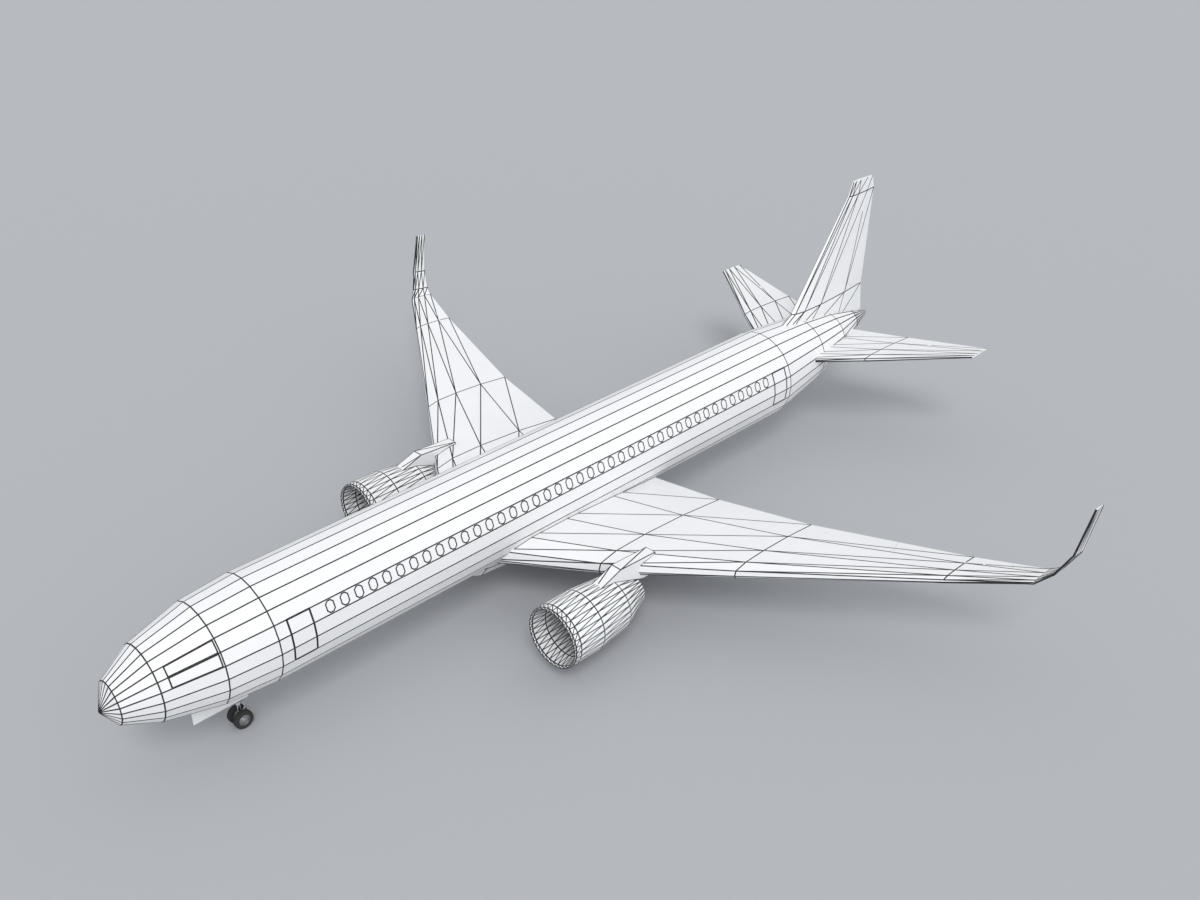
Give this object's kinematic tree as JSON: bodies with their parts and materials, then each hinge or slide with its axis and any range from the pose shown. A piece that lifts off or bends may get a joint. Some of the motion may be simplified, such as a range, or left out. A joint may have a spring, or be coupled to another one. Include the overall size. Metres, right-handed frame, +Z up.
{
  "type": "twin-engine airliner",
  "caption": "Low-wing airliner in faceted low-polygon form, with an engine under each swept wing, blended winglets and tricycle landing gear.",
  "frame": {"origin": "on the ground, on the centreline, half way between the nose tip and the tail tip", "axes": "+Z up, -Y towards the nose, +X to port"},
  "size_m": [35.8586, 39.48, 11.02],
  "materials": {
    "white_paint": "white semi-gloss paint with thin dark edge lines",
    "dark_metal": "dark heat-stained metal",
    "fan_metal": "satin metal",
    "gear_metal": "satin grey paint",
    "wheel_metal": "satin cast metal",
    "tyre_rubber": "matt black rubber"
  },
  "bodies": {
    "airframe": {"fuselage": "white_paint", "radome": "white_paint", "tail_cone": "white_paint", "belly_fairing": "white_paint", "wing_port": "white_paint", "wing_starboard": "white_paint", "winglet_port": "white_paint", "winglet_starboard": "white_paint", "stabilizer_port": "white_paint", "stabilizer_starboard": "white_paint", "fin": "white_paint", "pylon_port": "white_paint", "pylon_starboard": "white_paint", "nacelle_port": "white_paint", "nacelle_starboard": "white_paint", "engine_core_port": "dark_metal", "engine_core_starboard": "dark_metal", "main_gear_leg_port": "gear_metal", "main_gear_leg_starboard": "gear_metal", "nose_gear_leg": "gear_metal", "door_forward_port": "white_paint", "door_forward_starboard": "white_paint", "door_aft_port": "white_paint", "door_aft_starboard": "white_paint", "pane_front_port": "white_paint", "pane_front_starboard": "white_paint", "pane_side_port": "white_paint", "pane_side_starboard": "white_paint", "flap_inboard_port": "white_paint", "flap_inboard_starboard": "white_paint", "flap_outboard_port": "white_paint", "flap_outboard_starboard": "white_paint", "main_gear_door_port": "white_paint", "main_gear_door_starboard": "white_paint", "nose_gear_door_port": "white_paint", "nose_gear_door_starboard": "white_paint"},
    "port_fan": {"fan_port": "fan_metal"},
    "starboard_fan": {"fan_starboard": "fan_metal"},
    "port_aileron": {"aileron_port": "white_paint"},
    "starboard_aileron": {"aileron_starboard": "white_paint"},
    "port_elevator": {"elevator_port": "white_paint"},
    "starboard_elevator": {"elevator_starboard": "white_paint"},
    "tail_rudder": {"rudder": "white_paint"},
    "nose_steering": {"nose_gear_steering": "gear_metal"},
    "nose_wheels": {"tyre_nose_left": "tyre_rubber", "tyre_nose_right": "tyre_rubber", "rim_nose_left": "wheel_metal", "rim_nose_right": "wheel_metal"},
    "port_wheels": {"tyre_main_port_left": "tyre_rubber", "tyre_main_port_right": "tyre_rubber", "rim_main_port_left": "wheel_metal", "rim_main_port_right": "wheel_metal"},
    "starboard_wheels": {"tyre_main_starboard_left": "tyre_rubber", "tyre_main_starboard_right": "tyre_rubber", "rim_main_starboard_left": "wheel_metal", "rim_main_starboard_right": "wheel_metal"}
  },
  "joints": [
    {"name": "fan_spin_port", "type": "hinge", "parent": "airframe", "child": "port_fan", "pos_m": [5.65, -4.89, 1.76], "axis": [0, 1, 0], "continuous": true},
    {"name": "fan_spin_starboard", "type": "hinge", "parent": "airframe", "child": "starboard_fan", "pos_m": [-5.65, -4.89, 1.76], "axis": [0, 1, 0], "continuous": true},
    {"name": "aileron_hinge_port", "type": "hinge", "parent": "airframe", "child": "port_aileron", "pos_m": [12.2, 3.97962, 3.35364], "axis": [0.9239, 0.3661, 0.1113], "range_deg": [-20, 20]},
    {"name": "aileron_hinge_starboard", "type": "hinge", "parent": "airframe", "child": "starboard_aileron", "pos_m": [-12.2, 3.97962, 3.35364], "axis": [-0.9239, 0.3661, 0.1113], "range_deg": [-20, 20]},
    {"name": "elevator_hinge_port", "type": "hinge", "parent": "airframe", "child": "port_elevator", "pos_m": [1.75, 16.8199, 4.06438], "axis": [0.9505, 0.2899, 0.112], "range_deg": [-20, 25]},
    {"name": "elevator_hinge_starboard", "type": "hinge", "parent": "airframe", "child": "starboard_elevator", "pos_m": [-1.75, 16.8199, 4.06438], "axis": [0.9505, -0.2899, -0.112], "range_deg": [-20, 25]},
    {"name": "rudder_hinge", "type": "hinge", "parent": "airframe", "child": "tail_rudder", "pos_m": [0, 17.91895, 5.94], "axis": [0, 0.1765, 0.9843], "range_deg": [-27, 27]},
    {"name": "nose_steer", "type": "hinge", "parent": "airframe", "child": "nose_steering", "pos_m": [0, -15.44, 0.9], "axis": [0, 0, 1], "range_deg": [-78, 78]},
    {"name": "nose_wheel_roll", "type": "hinge", "parent": "nose_steering", "child": "nose_wheels", "pos_m": [0, -15.44, 0.34205], "axis": [1, 0, 0], "continuous": true},
    {"name": "main_wheel_roll_port", "type": "hinge", "parent": "airframe", "child": "port_wheels", "pos_m": [2.86, 0.36, 0.56017], "axis": [1, 0, 0], "continuous": true},
    {"name": "main_wheel_roll_starboard", "type": "hinge", "parent": "airframe", "child": "starboard_wheels", "pos_m": [-2.86, 0.36, 0.56017], "axis": [1, 0, 0], "continuous": true}
  ],
  "couplings": [
    {"joint": "aileron_hinge_starboard", "follows": "aileron_hinge_port", "ratio": 1},
    {"joint": "elevator_hinge_starboard", "follows": "elevator_hinge_port", "ratio": 1}
  ]
}
